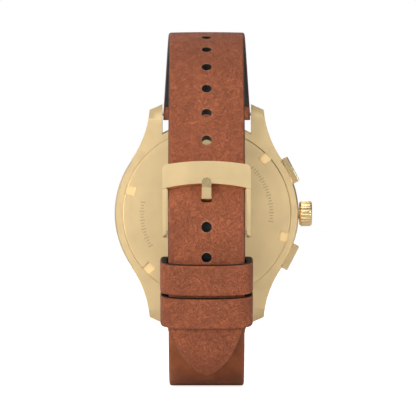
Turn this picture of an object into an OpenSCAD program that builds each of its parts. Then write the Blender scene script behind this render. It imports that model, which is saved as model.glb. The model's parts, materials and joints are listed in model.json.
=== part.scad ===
// Chronograph wristwatch on a closed leather strap.
// Origin: centre of the case back's outer face. +Y leaves the dial, +X leaves the crown,
// +Z points to 6 o'clock. Case parts are drawn dial up and turned into place by on_case().

/* [Case] */
// Diameter of the case without its crown and pushers
case_d = 42; // [41:0.5:43]
// Clear gap between the lugs
lug_gap = 20.2; // [20:0.1:21]
// Distance from the case centre to each spring bar
bar_reach = 22.7; // [22.5:0.1:23]
// Height of the spring bars above the case back
bar_height = 2.0; // [1.9:0.1:2.3]
// Height of the case middle's upper face
case_h = 8.0; // [7.9:0.1:8.3]
// Height of the crystal's upper face
crystal_h = 11.0; // [10.8:0.1:11.4]
// Diameter of the case back's disc
back_d = 38.4; // [38:0.2:38.8]
// Number of key notches in the case back
notch_count = 6; // [4:1:8]

/* [Controls] */
// Diameter of the crown
crown_d = 5.8; // [5:0.2:6.4]
// Number of flutes round the crown
crown_flutes = 22; // [16:1:28]
// Height of the crown and pusher axes above the case back
crown_h = 4.0; // [3.9:0.1:4.2]
// How far the crown pulls out
crown_travel = 1.0; // [0.6:0.1:1.2]
// Angle between the crown and each pusher
pusher_angle = 27.4; // [27:0.2:30]
// Width of a pusher cap round the case
pusher_w = 6.2; // [5:0.2:6.6]
// How far a pusher presses in
pusher_travel = 0.8; // [0.5:0.1:0.8]

/* [Strap] */
// Width of the strap at the lugs
strap_lug_w = 19.8; // [19:0.1:19.9]
// Width of the strap at the buckle
strap_w = 16.2; // [15.6:0.1:16.3]
// Thickness of the short strap, and of the space it takes under the long one
short_t = 2.6; // [2.4:0.1:2.7]
// Thickness of the long strap beyond its padded end
long_t = 2.2; // [2:0.1:2.3]
// Distance between neighbouring holes
hole_pitch = 6.35; // [6:0.05:6.5]
// Diameter of the strap holes
hole_d = 2.2; // [1.8:0.1:2.4]
// Number of strap holes
hole_count = 10; // [7:1:10]
// Length of a keeper along the strap
keeper_l = 6.9; // [6.4:0.1:7]
// Thickness of a keeper's leather
keeper_t = 1.4; // [1:0.1:1.5]

/* [Buckle] */
// Width of the buckle over its arms
buckle_w = 18.6; // [18.6:0.1:19]
// Distance from the buckle bar to the middle of the front plate
buckle_reach = 11.55; // [11.4:0.05:12]
// Width of the front plate along the strap
plate_l = 5.2; // [4.6:0.1:5.3]
// Width of the tongue
tongue_w = 2.0; // [1.6:0.1:2]

/* [Dial] */
// Distance from the dial centre to each small dial
sub_reach = 7.6; // [7.6:0.1:7.7]
// Diameter of a small dial
sub_d = 9.2; // [8:0.2:9.4]

/* [Hidden] */

$fn = 64;
eps = 0.01;
fit = 0.05;          // running clearance of pins and shafts, on the radius
gap = 0.1;           // clearance between parts that lie side by side

case_r = case_d / 2;
back_r = back_d / 2;
back_t = 0.9;        // thickness of the case back's disc
rim_z = 0.35;        // lowest face of the case middle
thread_r = 17.6;     // screwed boss of the case back
thread_z = 2.2;      // top of that boss
seal_wire_r = 0.33;  // round seal under the rim of the case back
seal_r = 18.15;
seal_z = back_t + seal_wire_r + 0.02;
notch_w = 2.1;       // key notches of the case back
notch_depth = 0.55;
notch_turn = 16.8;
bore_r = 17.0;       // case bore round the movement and dial
dial_z = 6.8;        // underside of the dial
dial_t = 0.4;
sub_depth = 0.12;    // the small dials are sunk by this much
dial_r = 16.9;
crystal_z = 9.3;
crystal_r = 17.2;

// Lugs: each outer flank is a hollow arc from the case to the tip
lug_in = lug_gap / 2;
lug_root = [case_r * 0.817, case_r * 0.581];
lug_corner = [13.0, bar_reach + 0.9];
lug_tip = bar_reach + 2.2;
lug_flank_r = 23;
lug_top_r = 20;      // the lugs' upper faces fall away on this radius
lug_hole_r = 0.45;
lug_hole_depth = 1.2;

// Closed strap: [length, turn] arcs along its inner face, from the 6 o'clock bar, over the top,
// down the front, through the buckle and keepers, and back to the 12 o'clock bar
strap_arcs = [[25, 72], [10, 27], [12, 22], [13, 17], [14, 13], [15, 37.5], [18, 0],
    [8.5, 32.5], [12, 35], [15.5, 29], [16, 17]];
strap_start_angle = 13;
arc_count = len(strap_arcs);
arc_start = [for (i = 0, s = 0; i <= arc_count;
    s = s + (i < arc_count ? strap_arcs[i][0] : 0), i = i + 1) s];
strap_total = arc_start[arc_count];
path_step = 0.5;
path_steps = round(strap_total / path_step);
lug_pad_t = 2.8;     // thickness of the long strap at its bar
pad_length = 30;     // the long strap thins down over this length

function clamp(v, lo, hi) = max(lo, min(hi, v));
function ease(v) = let (c = clamp(v, 0, 1)) c * c * (3 - 2 * c);
function total(v, i = 0) = i < len(v) ? v[i] + total(v, i + 1) : 0;

// Heading of the strap's inner face at distance s, its unit direction and outward normal in YZ
function heading(s) = strap_start_angle + total([for (i = [0 : arc_count - 1])
    clamp(s - arc_start[i], 0, strap_arcs[i][0]) / strap_arcs[i][0] * strap_arcs[i][1]]);
function along(s) = [-sin(heading(s)), cos(heading(s))];
function outward(s) = [cos(heading(s)), sin(heading(s))];

path_from = [bar_height, bar_reach] - outward(0) * lug_pad_t / 2;
path_to = [bar_height, -bar_reach] - outward(strap_total) * short_t / 2;
path_raw = [for (i = 0, p = path_from; i <= path_steps;
    p = p + along((i + 0.5) * path_step) * path_step, i = i + 1) p];
path_miss = path_to - path_raw[path_steps];
path_y = [for (i = [0 : path_steps]) [i * path_step, path_raw[i][0] + path_miss[0] * i / path_steps]];
path_z = [for (i = [0 : path_steps]) [i * path_step, path_raw[i][1] + path_miss[1] * i / path_steps]];

// Point at distance s along the strap and height n above its inner face, in YZ
function inner(s) = [lookup(s, path_y), lookup(s, path_z)];
function at(s, n) = inner(s) + outward(s) * n;

// The long strap climbs over the short one as it passes the buckle bar
bar_s = 84.6;
climb_length = 13;
keeper_s = 89.75;
keeper_gap = 0.7;
long_end_s = 115;
tip_length = 12;
short_gap = 0.1;
lining_t = 0.6;
function long_base(s) = (short_t + short_gap) * ease((s - bar_s + climb_length + 0.5) / climb_length);
function long_thick(s) = lug_pad_t + (long_t - lug_pad_t) * clamp(s / pad_length, 0, 1);
function long_top(s) = long_base(s) + long_thick(s);

// Width falls from the lugs to the buckle, and the long strap ends in a pointed tip
long_taper = 45;
short_taper = 16;
function strap_width(s) = strap_w + (strap_lug_w - strap_w) * (s < strap_total / 2
    ? pow(1 - min(1, s / long_taper), 2)
    : pow(1 - min(1, (strap_total - s) / short_taper), 3));
function tip_share(s) = pow(1 - pow(1 - clamp((long_end_s - s) / tip_length, 0.004, 1), 1.6), 0.65);
function long_width(s) = strap_width(s) * tip_share(s);

// Holes keep their pitch along the strap's middle layer
first_hole = 36.8;
function mid_point(s) = at(s, long_base(s) + long_thick(s) / 2);
mid_length = [for (i = 0, m = 0; i < path_steps;
    m = m + norm(mid_point((i + 1) * path_step) - mid_point(i * path_step)), i = i + 1) [m, i * path_step]];
hole_s = [for (i = [0 : hole_count - 1]) lookup(first_hole + i * hole_pitch, mid_length)];

// Buckle, in the strap's own YZ plane
bar_r = 0.6;
bar_at = at(bar_s, short_t / 2);
plate_t = 1.0;
plate_dip = 1.25;    // the ends of the plate reach this much nearer to the bar than its middle
arm_boss_r = 1.05;   // round ends of the arms, over the bar
plate_s = bar_s - buckle_reach;
plate_from = at(plate_s - plate_l / 2, long_top(plate_s - plate_l / 2));
plate_to = at(plate_s + plate_l / 2, long_top(plate_s + plate_l / 2));
plate_along = (plate_to - plate_from) / norm(plate_to - plate_from);
plate_out = [plate_along[1], -plate_along[0]];
plate_turn = atan2(plate_out[1], plate_out[0]);
plate_at = (plate_from + plate_to) / 2 + plate_out * (gap + plate_t / 2);
arm_t = 1.0;
arm_in = buckle_w / 2 - arm_t;
tongue_t = 0.9;
tongue_eye_r = 1.2;
frame_swing = 2.5;
tongue_swing = 2.5;

// Controls
neck_r = 21.15;      // inner face of the crown
crown_top = neck_r + 2.85;
tube_in = 17.1;      // inner ends of the crown and pusher tubes
stem_r = 0.5;
stem_in = 8.3;
square_w = 0.66;
clutch_x = [8.7, 10.1];
groove_x = [10.9, 11.6];
cap_in = 20.85;      // underside of a pusher cap
cap_t = 1.45;
cap_h = 3.4;
collar_r = 1.15;
collar_in = 19.6;
rod_r = 0.65;
rod_in = 16.0;
spring_seat = 17.9;
wire_r = 0.1;
lever_arm = 2.6;

// Movement: heights of the wheel layers and centres of the arbors
plate_z = [5.3, 6.2];
bridge_z = [1.8, 2.3];
layer_a = 4.9;
layer_b = 4.4;
layer_c = 3.9;
layer_d = 3.3;
layer_hour = 6.5;
layer_motion = 6.25;
wheel_t = 0.2;
movement_r = 15.0;
train_module = 0.11;
motion_module = 0.125;
hour_module = 0.12;
leaf = 8;            // leaves of the small pinions
function pitch_r(teeth, module_size) = teeth * module_size / 2;
// Third corner of a triangle on base a-b with sides ra and rb, to the left of a-b
function apex(a, b, ra, rb) = let (d = norm(b - a), t = (ra * ra - rb * rb + d * d) / (2 * d),
    e = (b - a) / d) a + e * t + [-e[1], e[0]] * sqrt(ra * ra - t * t);
centre_teeth = 64;
third_teeth = 60;
near_reach = pitch_r(centre_teeth + leaf, train_module);
far_reach = pitch_r(third_teeth + leaf, train_module);
seconds_at = [0, -sub_reach];
counter_at = [-sub_reach, 0];
day_at = [sub_reach, 0];
third_at = apex([0, 0], seconds_at, near_reach, far_reach);
chrono_idler_at = apex(counter_at, [0, 0], near_reach, far_reach);
cannon_teeth = 12;
minute_teeth = 36;
hour_pinion_teeth = 10;
hour_teeth = 40;
day_idler_teeth = 16;
day_teeth = 80;
minute_wheel_at = pitch_r(cannon_teeth + minute_teeth, motion_module) * [0.5, 0.866];
day_idler_at = apex(day_at, [0, 0], pitch_r(day_teeth + day_idler_teeth, hour_module),
    pitch_r(hour_teeth + day_idler_teeth, hour_module));
time_rotor_at = [4.6, -8.4];
chrono_rotor_at = [1.4, 4.9];
battery_at = [-6.9, -7.4];
battery_angle = atan2(battery_at[1], battery_at[0]);
battery_r = 4.75;
battery_z = [1.15, 3.85];
pillars = [[12.4, 4.9], [-12.4, 4.9], [12.7, -3.6], [2.5, -12.8]];

module on_case() { rotate([-90, 0, 0]) children(); }

// Turns +Z into the outward radius at an angle round the case, at the crown's height
module radial(angle, r = 0) {
    rotate(angle) translate([r, 0, crown_h]) rotate([0, 90, 0]) children();
}

module ring(r_out, r_in, h) {
    difference() {
        cylinder(r = r_out, h = h);
        translate([0, 0, -1]) cylinder(r = r_in, h = h + 2);
    }
}

// Trapezoid teeth on a disc; the wheel's first tooth points along +X
module gear(teeth, module_size, h, phase = 0) {
    r = pitch_r(teeth, module_size);
    step = 360 / teeth;
    linear_extrude(h) polygon([for (i = [0 : teeth - 1])
        for (c = [[-0.3, -1.1], [-0.12, 0.7], [0.12, 0.7], [0.3, -1.1]])
            (r + c[1] * module_size) * [cos((i + c[0]) * step + phase), sin((i + c[0]) * step + phase)]]);
}

module arbor(z0, z1, r = 0.15) { translate([0, 0, z0]) cylinder(r = r, h = z1 - z0, $fn = 24); }

// Strap geometry -----------------------------------------------------------------------------

// Solid between two heights above the strap's inner face: rows of [s, low, high, width]
module band(rows) {
    last = len(rows) - 1;
    points = [for (r = rows) for (c = [[-1, 1], [1, 1], [1, 2], [-1, 2]])
        let (p = at(r[0], r[c[1]])) [c[0] * r[3] / 2, p[0], p[1]]];
    sides = [for (i = [0 : last - 1]) for (k = [0 : 3])
        [4 * i + k, 4 * i + 4 + k, 4 * i + 4 + (k + 1) % 4, 4 * i + (k + 1) % 4]];
    polyhedron(points, concat([[0, 1, 2, 3]], sides, [[for (k = [3 : -1 : 0]) 4 * last + k]]));
}

// Places a child so that its X stays across the strap, Y runs along it and Z points outward
module on_strap(s, n = 0) {
    p = at(s, n);
    translate([0, p[0], p[1]]) rotate([heading(s) - 90, 0, 0]) mirror([0, 1, 0]) children();
}

module across(p, r, w) { translate([-w / 2, p[0], p[1]]) rotate([0, 90, 0]) cylinder(r = r, h = w); }

// Rows along each half of the strap, shared by its leather and its lining so that they meet exactly
band_step = 1.5;
function steps(s0, s1) = let (n = ceil((s1 - s0) / band_step)) [for (i = [0 : n]) s0 + (s1 - s0) * i / n];
long_rows = steps(0, long_end_s);
short_rows = steps(bar_s, strap_total);

module strap_holes() {
    for (s = hole_s) on_strap(s, long_base(s)) translate([0, 0, -1]) cylinder(d = hole_d, h = long_t + 2);
}

// Swept side profile of the tongue and the room that it needs, in YZ relative to the bar
tongue_line = [for (k = [[0, 0], [3.2, -0.35], [5.2, 0.1], [7.1, 2.55], [8.4, 3.45]])
    at(bar_s - k[0], short_t / 2 + k[1]) - bar_at];
tongue_rest = plate_at + plate_along * 1.5 + plate_out * (plate_t / 2 + gap + tongue_t / 2) - bar_at;
tongue_path = concat(tongue_line, [tongue_rest]);
tongue_last = len(tongue_path) - 1;
function side_of(path, i) = let (a = path[max(i - 1, 0)], b = path[min(i + 1, len(path) - 1)],
    e = (b - a) / norm(b - a)) [-e[1], e[0]];

module tongue_bar(half_t, w) {
    rotate([90, 0, 90]) translate([0, 0, -w / 2]) linear_extrude(w) polygon(concat(
        [for (i = [0 : tongue_last]) tongue_path[i] + side_of(tongue_path, i) * half_t],
        [for (i = [tongue_last : -1 : 0]) tongue_path[i] - side_of(tongue_path, i) * half_t]));
}

module tongue_room() {
    for (a = [0, 0.5, 1]) translate([0, bar_at[0], bar_at[1]])
        rotate([a * (frame_swing + tongue_swing), 0, 0]) tongue_bar(tongue_t / 2 + gap, tongue_w + 3 * gap);
}

module strap_long() {
    color("peru") difference() {
        union() {
            band([for (s = long_rows) [s, long_base(s) + lining_t, long_top(s), long_width(s)]]);
            across([bar_height, bar_reach], lug_pad_t / 2, strap_lug_w);
        }
        across([bar_height, bar_reach], 0.85, lug_gap);
        strap_holes();
        tongue_room();
    }
}

module lining_long() {
    color("black") difference() {
        band([for (s = long_rows) if (s > 2 && s < long_end_s - 1)
            [s, long_base(s), long_base(s) + lining_t, long_width(s) - 2 * gap]]);
        strap_holes();
        tongue_room();
    }
}

module strap_short() {
    color("saddlebrown") difference() {
        union() {
            band([for (s = short_rows) [s, lining_t, short_t, strap_width(s)]]);
            across([bar_height, -bar_reach], short_t / 2, strap_lug_w);
            across(bar_at, short_t / 2, strap_w);
        }
        across([bar_height, -bar_reach], 0.85, lug_gap);
        across(bar_at, bar_r + fit, strap_w + 1);
        translate([-tongue_w / 2 - 0.4, bar_at[0] - 3, bar_at[1] - 1.9]) cube([tongue_w + 0.8, 6, 4.4]);
    }
}

module lining_short() {
    color("black") band([for (s = short_rows) if (s > bar_s + 2 && s < strap_total - 2)
        [s, 0, lining_t, strap_width(s) - 2 * gap]]);
}

module keeper(s) {
    inner_w = strap_w + 0.6;
    stack = short_t + short_gap + long_t + 0.3;
    on_strap(s, -0.2) difference() {
        translate([-inner_w / 2 - keeper_t, 0, -keeper_t])
            cube([inner_w + 2 * keeper_t, keeper_l, stack + 2 * keeper_t]);
        translate([-inner_w / 2, -1, 0]) cube([inner_w, keeper_l + 2, stack]);
        for (side = [-1, 1]) for (z = [-keeper_t, stack + keeper_t])
            translate([side * (inner_w / 2 + keeper_t), -1, z]) rotate([0, 45, 0])
                translate([-1, 0, -1]) cube([2, keeper_l + 2, 2]);
    }
}

module fixed_keeper() { color("sienna") keeper(keeper_s); }
module floating_keeper() { color("sienna") keeper(keeper_s + keeper_l + keeper_gap); }

// Spring bars --------------------------------------------------------------------------------

module lug_bars() {
    color("silver") for (side = [-1, 1]) difference() {
        across([bar_height, side * bar_reach], 0.75, lug_gap - 1.6);
        across([bar_height, side * bar_reach], 0.5, lug_gap);
    }
}

module lug_bar_pins() {
    reach = lug_in + lug_hole_depth - 0.1;
    color("silver") for (side = [-1, 1]) for (end = [-1, 1])
        translate([0, bar_height, side * bar_reach]) rotate([0, end * 90, 0]) {
            translate([0, 0, lug_in - 3.4]) cylinder(r = 0.5 - fit, h = 3.0, $fn = 32);
            translate([0, 0, lug_in - 1]) cylinder(r = lug_hole_r - fit, h = reach - lug_in + 1, $fn = 32);
        }
}

module buckle_bar() {
    color("silver") {
        across(bar_at, bar_r, 2 * arm_in - 0.2);
        across(bar_at, 0.4, 2 * arm_in + 1.4);
    }
}

// Front plate: an arched outline, rounded at its far corners
module plate_outline() {
    half_w = buckle_w / 2;
    rise = 0.95;
    arch_r = (half_w * half_w + rise * rise) / (2 * rise);
    dip_r = (half_w * half_w + plate_dip * plate_dip) / (2 * plate_dip);
    corner = 1.2;
    corner_y = plate_l / 2 - rise * pow(1 - corner / half_w, 2) - corner;
    difference() {
        intersection() {
            translate([0, plate_l / 2 - arch_r]) circle(r = arch_r, $fn = 200);
            translate([-half_w, -plate_l]) square([buckle_w, 2 * plate_l]);
        }
        translate([0, -plate_l / 2 - dip_r]) circle(r = dip_r, $fn = 200);
        for (side = [-1, 1]) difference() {
            translate([side * half_w - corner / 2 - side * corner / 2, corner_y]) square([corner, 4]);
            translate([side * (half_w - corner), corner_y]) circle(r = corner);
        }
    }
}

// Arm from the plate to the bar: narrower at the bar, where it ends in a round boss
module buckle_arm(side) {
    foot = plate_at + plate_along * plate_l / 4;
    head = plate_at + plate_along * (plate_l / 2 + plate_dip - 0.5);
    lift = plate_out * plate_t / 2;
    boss = outward(bar_s) * arm_boss_r;
    out_x = arm_in + arm_t;
    top = plate_at[1] + plate_l;
    low = bar_at[1] - 2;
    difference() {
        intersection() {
            translate([side > 0 ? 0 : -out_x, 0, 0]) rotate([90, 0, 90]) linear_extrude(out_x) {
                translate(bar_at) circle(r = arm_boss_r);
                polygon([bar_at + boss, head + lift, foot + lift, foot - lift, head - lift, bar_at - boss]);
            }
            rotate([90, 0, 0]) translate([0, 0, -bar_at[0] - 20]) linear_extrude(40)
                polygon([for (p = [[arm_in, top], [out_x, top], [out_x, plate_at[1]], [out_x - 0.1, low],
                    [arm_in + 0.15, low], [arm_in, plate_at[1]]]) [side * p[0], p[1]]]);
        }
        across(bar_at, 0.4 + fit, buckle_w + 2);
    }
}

module buckle_frame() {
    color("gold") {
        translate([0, plate_at[0], plate_at[1]]) rotate([plate_turn - 90, 0, 0]) mirror([0, 1, 0])
            rotate([0, 0, 180]) translate([0, 0, -plate_t / 2]) linear_extrude(plate_t) plate_outline();
        for (side = [-1, 1]) buckle_arm(side);
    }
}

// Round end of the tongue, seen along Y
module tongue_plan() {
    tip_z = tongue_rest[1] - tongue_w / 2;
    rotate([90, 0, 0]) translate([0, 0, -20]) linear_extrude(40) {
        translate([0, tip_z]) circle(d = tongue_w);
        translate([-tongue_w / 2, -5]) square([tongue_w, tip_z + 5]);
    }
}

module buckle_tongue() {
    eye_w = tongue_w - 0.2;
    color("gold") translate([0, bar_at[0], bar_at[1]]) difference() {
        union() {
            intersection() {
                tongue_bar(tongue_t / 2, tongue_w);
                tongue_plan();
            }
            translate([-eye_w / 2, 0, 0]) rotate([0, 90, 0]) cylinder(r = tongue_eye_r, h = eye_w);
        }
        translate([-tongue_w, 0, 0]) rotate([0, 90, 0]) cylinder(r = bar_r + fit, h = 2 * tongue_w);
    }
}

// Case ---------------------------------------------------------------------------------------

function arc_centre(a, b, r) = let (m = (a + b) / 2, d = b - a, h = sqrt(r * r - d * d / 4))
    m + [d[1], -d[0]] / norm(d) * h;

module lug_plan() {
    centre = arc_centre(lug_root, lug_corner, lug_flank_r);
    for (side = [0, 1]) mirror([side, 0]) difference() {
        polygon([[lug_in, 14], [lug_in, lug_tip], lug_corner, lug_root, [lug_root[0] - 3, 9], [12, 9]]);
        translate(centre) circle(r = lug_flank_r, $fn = 200);
    }
}

module lug_side() {
    crease = 21.3;
    intersection() {
        polygon([[6, rim_z], [crease, rim_z], [lug_tip + 1, 1.9], [lug_tip + 1, case_h], [6, case_h]]);
        union() {
            translate([12, case_h - 0.1 - lug_top_r]) circle(r = lug_top_r, $fn = 200);
            translate([6, 0]) square([6, case_h - 0.1]);
        }
    }
}

module lug_pair() {
    intersection() {
        linear_extrude(case_h) lug_plan();
        rotate([90, 0, 90]) translate([0, 0, -case_r]) linear_extrude(case_d) lug_side();
    }
}

module mid_case() {
    waist = case_r - 0.4;
    color("gold") on_case() difference() {
        union() {
            rotate_extrude($fn = 160) polygon([[0, rim_z], [waist, rim_z], [case_r - 0.1, rim_z + 0.9],
                [case_r, 2.6], [case_r, case_h - 2.2], [case_r - 0.25, case_h - 0.5],
                [case_r - 0.6, case_h], [0, case_h]]);
            for (turn = [0, 180]) rotate(turn) lug_pair();
        }
        translate([0, 0, -1]) cylinder(r = back_r + fit, h = back_t + 1, $fn = 160);
        translate([0, 0, -1]) cylinder(r = seal_r + seal_wire_r + 0.2,
            h = seal_z + seal_wire_r + 1 + eps, $fn = 160);
        translate([0, 0, -1]) cylinder(r = thread_r + fit, h = thread_z + 1 + fit, $fn = 160);
        translate([0, 0, -1]) cylinder(r = bore_r, h = dial_z + dial_t + 1 + fit, $fn = 160);
        translate([0, 0, -1]) cylinder(r = bore_r - 0.6, h = case_h + 2, $fn = 160);
        radial(0) cylinder(r = 1.3 + eps, h = case_r + 2);
        for (side = [-1, 1]) radial(side * pusher_angle) {
            cylinder(r = 1.5 + eps, h = case_r + 2);
            translate([-cap_h / 2 - 0.2, -pusher_w / 2 - 0.2, cap_in - pusher_travel - 0.05])
                cube([cap_h + 0.4, pusher_w + 0.4, 4]);
        }
        for (turn = [0, 180]) rotate(turn) translate([-lug_in - lug_hole_depth, bar_reach, bar_height])
            rotate([0, 90, 0]) cylinder(r = lug_hole_r, h = 2 * (lug_in + lug_hole_depth), $fn = 32);
    }
}

module bezel() {
    color("gold") on_case() rotate_extrude($fn = 160) polygon([[bore_r + 0.4, case_h],
        [case_r - 0.5, case_h], [case_r - 0.45, case_h + 0.35], [case_r - 0.7, case_h + 0.9],
        [case_r - 1.4, case_h + 1.9], [case_r - 2.3, crystal_h - 0.45], [case_r - 2.9, crystal_h - 0.3],
        [bore_r + 0.65, crystal_h - 0.45], [bore_r + 0.55, crystal_h - 0.6], [bore_r + 0.55, crystal_z],
        [bore_r + 0.4, crystal_z]]);
}

module crystal() {
    color("white", 0.3) on_case() translate([0, 0, crystal_z]) rotate_extrude($fn = 160)
        polygon([[0, 0], [crystal_r, 0], [crystal_r, crystal_h - crystal_z - 0.3],
            [crystal_r - 0.3, crystal_h - crystal_z], [0, crystal_h - crystal_z]]);
}

// Screwed back with a thread boss, and key notches open to the rim of its disc
module case_back() {
    color("gold") on_case() difference() {
        rotate_extrude($fn = 160) polygon([[0, 0], [back_r - 0.25, 0], [back_r, 0.25],
            [back_r, back_t], [thread_r, back_t], [thread_r, thread_z], [thread_r - 0.9, thread_z],
            [thread_r - 0.9, back_t], [0, back_t]]);
        for (i = [0 : notch_count - 1]) rotate(notch_turn + i * 360 / notch_count)
            translate([back_r - notch_w, -notch_w / 2, -1]) cube([notch_w + 1, notch_w, notch_depth + 1]);
    }
}

// Seal round the crystal and seal under the rim of the case back
module case_gaskets() {
    color("black") on_case() {
        translate([0, 0, crystal_z]) ring(bore_r + 0.54, crystal_r, crystal_h - crystal_z - 0.6, $fn = 160);
        translate([0, 0, seal_z]) rotate_extrude($fn = 96)
            translate([seal_r, 0]) circle(r = seal_wire_r, $fn = 24);
    }
}

module flange_ring() {
    color("silver") on_case() rotate_extrude($fn = 160) polygon([[bore_r - 0.6, case_h],
        [bore_r + 0.35, case_h], [bore_r + 0.35, crystal_z - fit], [bore_r + 0.1, crystal_z - fit],
        [bore_r - 0.6, case_h + 0.3]]);
}

// Crown and pushers --------------------------------------------------------------------------

module crown() {
    r = crown_d / 2;
    rim = 0.45;
    h = crown_top - neck_r;
    color("gold") on_case() radial(0) difference() {
        translate([0, 0, neck_r]) rotate_extrude($fn = 96) polygon([[0, 0], [r - rim, 0], [r, rim],
            [r, h - rim], [r - 0.15, h - 0.15], [r - rim, h], [0, h]]);
        translate([0, 0, neck_r - 1]) cylinder(r = 1.45, h = 1.2 + crown_travel);
        translate([0, 0, neck_r]) cylinder(r = stem_r, h = 1.9, $fn = 32);
        for (i = [0 : crown_flutes - 1]) rotate(i * 360 / crown_flutes)
            translate([r + 0.12, 0, neck_r - 1]) cylinder(r = 0.3, h = h + 2, $fn = 24);
    }
}

module crown_gasket() {
    color("black") on_case() radial(0) translate([0, 0, neck_r + 0.55]) ring(1.44, 1.2, 0.5, $fn = 48);
}

module crown_tube() {
    color("silver") on_case() radial(0) {
        translate([0, 0, tube_in]) ring(1.3, stem_r + fit, 20.7 - tube_in);
        translate([0, 0, 20.7 - eps]) ring(1.15, stem_r + fit, 1.3);
    }
}

module winding_stem() {
    color("silver") on_case() radial(0) difference() {
        union() {
            translate([-square_w / 2, -square_w / 2, stem_in]) cube([square_w, square_w, 1.9]);
            translate([0, 0, stem_in + 1.85]) cylinder(r = stem_r, h = neck_r + 1.8 - stem_in - 1.85);
        }
        translate([0, 0, groove_x[0]]) ring(1, 0.26, groove_x[1] - groove_x[0]);
    }
}

module clutch_pinion() {
    w = square_w + 2 * fit;
    color("silver") on_case() radial(0) translate([0, 0, clutch_x[0]]) difference() {
        union() {
            gear(12, 0.14, 0.5);
            cylinder(r = 0.65, h = clutch_x[1] - clutch_x[0]);
        }
        translate([-w / 2, -w / 2, -1]) cube([w, w, 4]);
    }
}

// Lever whose pin rides in the stem's groove and moves as the crown is pulled
module setting_lever() {
    mid = (groove_x[0] + groove_x[1]) / 2;
    color("silver") on_case() translate([mid, lever_arm, 0]) difference() {
        union() {
            translate([0, 0, 4.6]) cylinder(r = 0.8, h = 0.3);
            translate([-0.35, -lever_arm, 4.6]) cube([0.7, lever_arm, 0.3]);
            translate([0, -lever_arm, 4.3]) cylinder(r = 0.25, h = 0.6, $fn = 24);
            translate([0, -lever_arm, 4.6]) cylinder(r = 0.35, h = 0.3, $fn = 24);
        }
        cylinder(r = 0.35, h = 10, $fn = 24);
    }
}

module pusher(side) {
    edge = 0.25;
    color("gold") on_case() radial(side * pusher_angle) {
        translate([0, 0, cap_in]) difference() {
            translate([-cap_h / 2, -pusher_w / 2, 0]) cube([cap_h, pusher_w, cap_t]);
            for (x = [-1, 1]) translate([x * cap_h / 2, 0, cap_t]) rotate([0, 45, 0])
                cube([edge, pusher_w + 1, edge], center = true);
            for (y = [-1, 1]) translate([0, y * pusher_w / 2, cap_t]) rotate([45, 0, 0])
                cube([cap_h + 1, edge, edge], center = true);
        }
        translate([0, 0, collar_in]) cylinder(r = collar_r, h = cap_in - collar_in + eps);
        difference() {
            translate([0, 0, rod_in]) cylinder(r = rod_r, h = collar_in - rod_in + eps, $fn = 32);
            translate([0, 0, rod_in + 0.4]) ring(1, 0.45, 0.25);
        }
    }
}

module start_pusher() { pusher(1); }
module reset_pusher() { pusher(-1); }

module pusher_tubes() {
    color("silver") on_case() for (side = [-1, 1]) radial(side * pusher_angle) difference() {
        translate([0, 0, tube_in]) cylinder(r = 1.5, h = cap_in - pusher_travel - gap - tube_in);
        translate([0, 0, tube_in - 1]) cylinder(r = rod_r + fit, h = 5, $fn = 32);
        translate([0, 0, spring_seat]) cylinder(r = collar_r + fit, h = 5);
    }
}

module spring_coil(side) {
    turns = 3.5;
    across_n = 6;
    n = 14 * turns;
    r = 0.95;
    from = spring_seat + wire_r + 0.02;
    span = collar_in - wire_r - 0.02 - from;
    points = [for (i = [0 : n]) for (k = [0 : across_n - 1])
        let (a = i / n * turns * 360, c = k * 360 / across_n, q = r + wire_r * cos(c))
            [q * cos(a), q * sin(a), from + span * i / n + wire_r * sin(c)]];
    faces = concat([[for (k = [0 : across_n - 1]) k]],
        [for (i = [0 : n - 1]) for (k = [0 : across_n - 1]) [across_n * i + k, across_n * (i + 1) + k,
            across_n * (i + 1) + (k + 1) % across_n, across_n * i + (k + 1) % across_n]],
        [[for (k = [across_n - 1 : -1 : 0]) across_n * n + k]]);
    color("silver") on_case() radial(side * pusher_angle) polyhedron(points, faces);
}

module start_spring() { spring_coil(1); }
module reset_spring() { spring_coil(-1); }

module clip(side) {
    color("silver") on_case() radial(side * pusher_angle) translate([0, 0, rod_in + 0.42]) difference() {
        ring(1.0, 0.46, 0.2, $fn = 32);
        translate([-0.3, 0, -1]) cube([0.6, 2, 3]);
    }
}

module start_clip() { clip(1); }
module reset_clip() { clip(-1); }

// Dial and hands -----------------------------------------------------------------------------

module at_subdials() {
    for (p = [seconds_at, counter_at, day_at]) translate(p) children();
}

module dial() {
    color("ivory") on_case() difference() {
        union() {
            translate([0, 0, dial_z]) cylinder(r = dial_r, h = dial_t, $fn = 160);
            for (a = [110, 290]) rotate(a) translate([13.2, 0, 5.6]) cylinder(r = 0.35, h = 1.3, $fn = 24);
        }
        translate([0, 0, dial_z - 1]) cylinder(r = 1.0, h = 3);
        at_subdials() translate([0, 0, dial_z - 1]) cylinder(r = 0.4, h = 3, $fn = 24);
        at_subdials() translate([0, 0, dial_z + dial_t - sub_depth]) cylinder(d = sub_d, h = 1, $fn = 96);
    }
}

// Applied batons, doubled at 12 and short beside the small dials, and a ring round each small dial
module dial_markers() {
    top = dial_z + dial_t;
    color("gold") on_case() {
        for (h = [1 : 12]) rotate(90 - h * 30) {
            short = h == 3 || h == 6 || h == 9;
            length = short ? 1.4 : 2.8;
            for (side = h == 12 ? [-1, 1] : [0]) translate([15.4 - length, side * 0.6 - 0.35, top])
                cube([length, 0.7, 0.35]);
        }
        at_subdials() translate([0, 0, top - sub_depth])
            ring(sub_d / 2 - 0.05, sub_d / 2 - 0.35, 0.25, $fn = 96);
    }
}

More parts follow.
